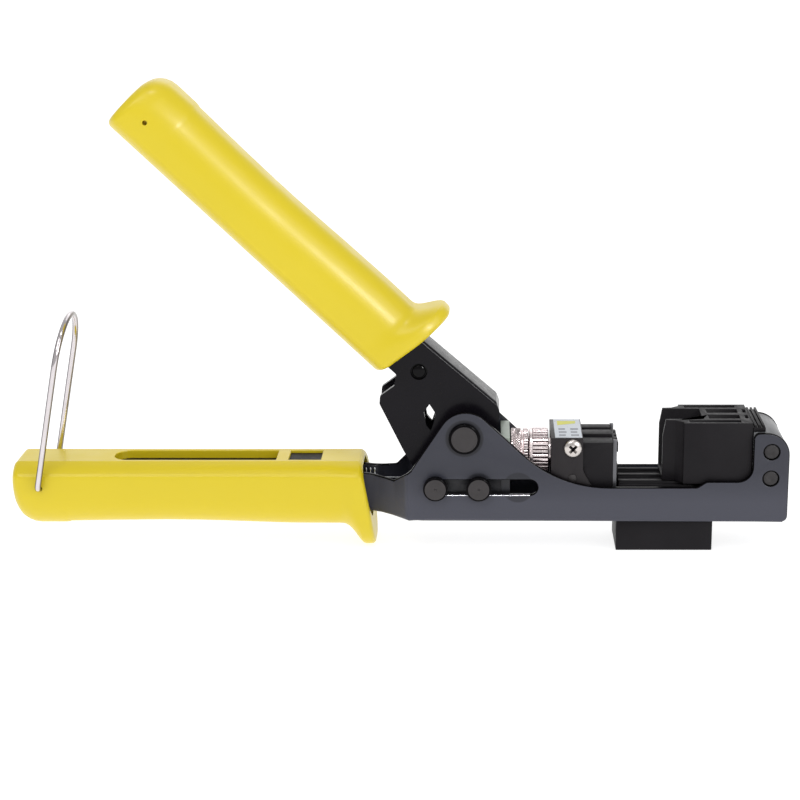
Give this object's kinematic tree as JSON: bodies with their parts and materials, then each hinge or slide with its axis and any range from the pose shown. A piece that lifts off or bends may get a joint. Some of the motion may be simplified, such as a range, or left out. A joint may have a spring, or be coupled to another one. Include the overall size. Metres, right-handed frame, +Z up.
{
  "type": "keystone jack termination tool",
  "caption": "Hand-squeezed termination tool: a yellow-gripped lever drives a punch die along a steel U channel towards a slotted jack holder.",
  "frame": {"origin": "centre of the bounding box's bottom face at rest, on the base block's underside", "axes": "+X from the grips to the jack holder, +Z up away from the base block, Y across the tool, which is symmetric about the XZ plane"},
  "size_m": [0.2588, 0.0324, 0.1568],
  "materials": {
    "frame_coat": "satin bluish dark grey coat over sheet steel",
    "lever_coat": "near-black semi-gloss coat over sheet steel",
    "yellow_grip": "smooth semi-gloss yellow moulding",
    "black_plastic": "charcoal moulding, lightly textured",
    "dark_pin": "blackened steel pin head",
    "grey_block": "light grey satin block",
    "rivet_steel": "dull steel",
    "plain_steel": "plain steel",
    "yoke_zinc": "zinc-plated sheet",
    "nickel_knurl": "bright knurled nickel plate",
    "bracket_steel": "dark satin sheet",
    "blade_steel": "bright ground steel",
    "screw_chrome": "bright cross-recess screw",
    "label_film": "pale printed film with plain bars",
    "bail_chrome": "bright drawn wire"
  },
  "bodies": {
    "frame": {"frame_channel": "frame_coat", "end_block": "grey_block", "end_rivets": "rivet_steel", "base_block": "black_plastic", "jack_holder": "black_plastic", "holder_retainer": "black_plastic", "holder_screws": "rivet_steel", "lower_grip": "yellow_grip", "pivot_pin": "dark_pin", "pivot_spacers": "plain_steel", "spring_anchor": "plain_steel", "return_spring": "plain_steel"},
    "lever": {"lever_channel": "lever_coat", "upper_grip": "yellow_grip", "lever_rivet": "rivet_steel", "pivot_bush": "plain_steel"},
    "ram": {"ram_yoke": "yoke_zinc", "drive_pin": "dark_pin", "guide_pin": "dark_pin", "adjusting_stud": "plain_steel"},
    "lock_nut": {"lock_nut": "nickel_knurl"},
    "die_carrier": {"die_bracket": "bracket_steel", "punch_die": "black_plastic", "punch_comb": "black_plastic", "trim_blades": "blade_steel", "die_screws": "screw_chrome", "bracket_pin": "plain_steel", "spec_label": "label_film"},
    "adjuster": {"adjusting_barrel": "nickel_knurl", "barrel_clip": "plain_steel"},
    "bail": {"bail": "bail_chrome"}
  },
  "joints": [
    {"name": "lever_squeeze", "type": "hinge", "parent": "frame", "child": "lever", "pos_m": [0.0211, 0, 0.0404], "axis": [0, -1, 0], "range_deg": [0, 41], "stiffness_Nm_per_rad": 0.43, "springref_deg": -33.23},
    {"name": "ram_slide", "type": "slide", "parent": "frame", "child": "ram", "axis": [1, 0, 0], "range_m": [0, 0.0131], "deforming": ["return_spring"]},
    {"name": "lock_nut_turn", "type": "hinge", "parent": "ram", "child": "lock_nut", "pos_m": [0.0395, 0, 0.0315], "axis": [1, 0, 0], "continuous": true},
    {"name": "die_adjust", "type": "slide", "parent": "ram", "child": "die_carrier", "axis": [1, 0, 0], "range_m": [0, 0.0015]},
    {"name": "barrel_turn", "type": "hinge", "parent": "die_carrier", "child": "adjuster", "pos_m": [0.046, 0, 0.0315], "axis": [1, 0, 0], "range_deg": [0, 541]},
    {"name": "bail_swing", "type": "hinge", "parent": "frame", "child": "bail", "pos_m": [-0.1207, 0, 0.0228], "axis": [0, -1, 0], "range_deg": [0, 50]}
  ],
  "couplings": [
    {"joint": "ram_slide", "follows": "lever_squeeze", "m_per_rad": 0.0182},
    {"joint": "bail_swing", "follows": "lever_squeeze", "ratio": 1.2},
    {"joint": "barrel_turn", "follows": "die_adjust", "rad_per_m": 6283.2}
  ]
}
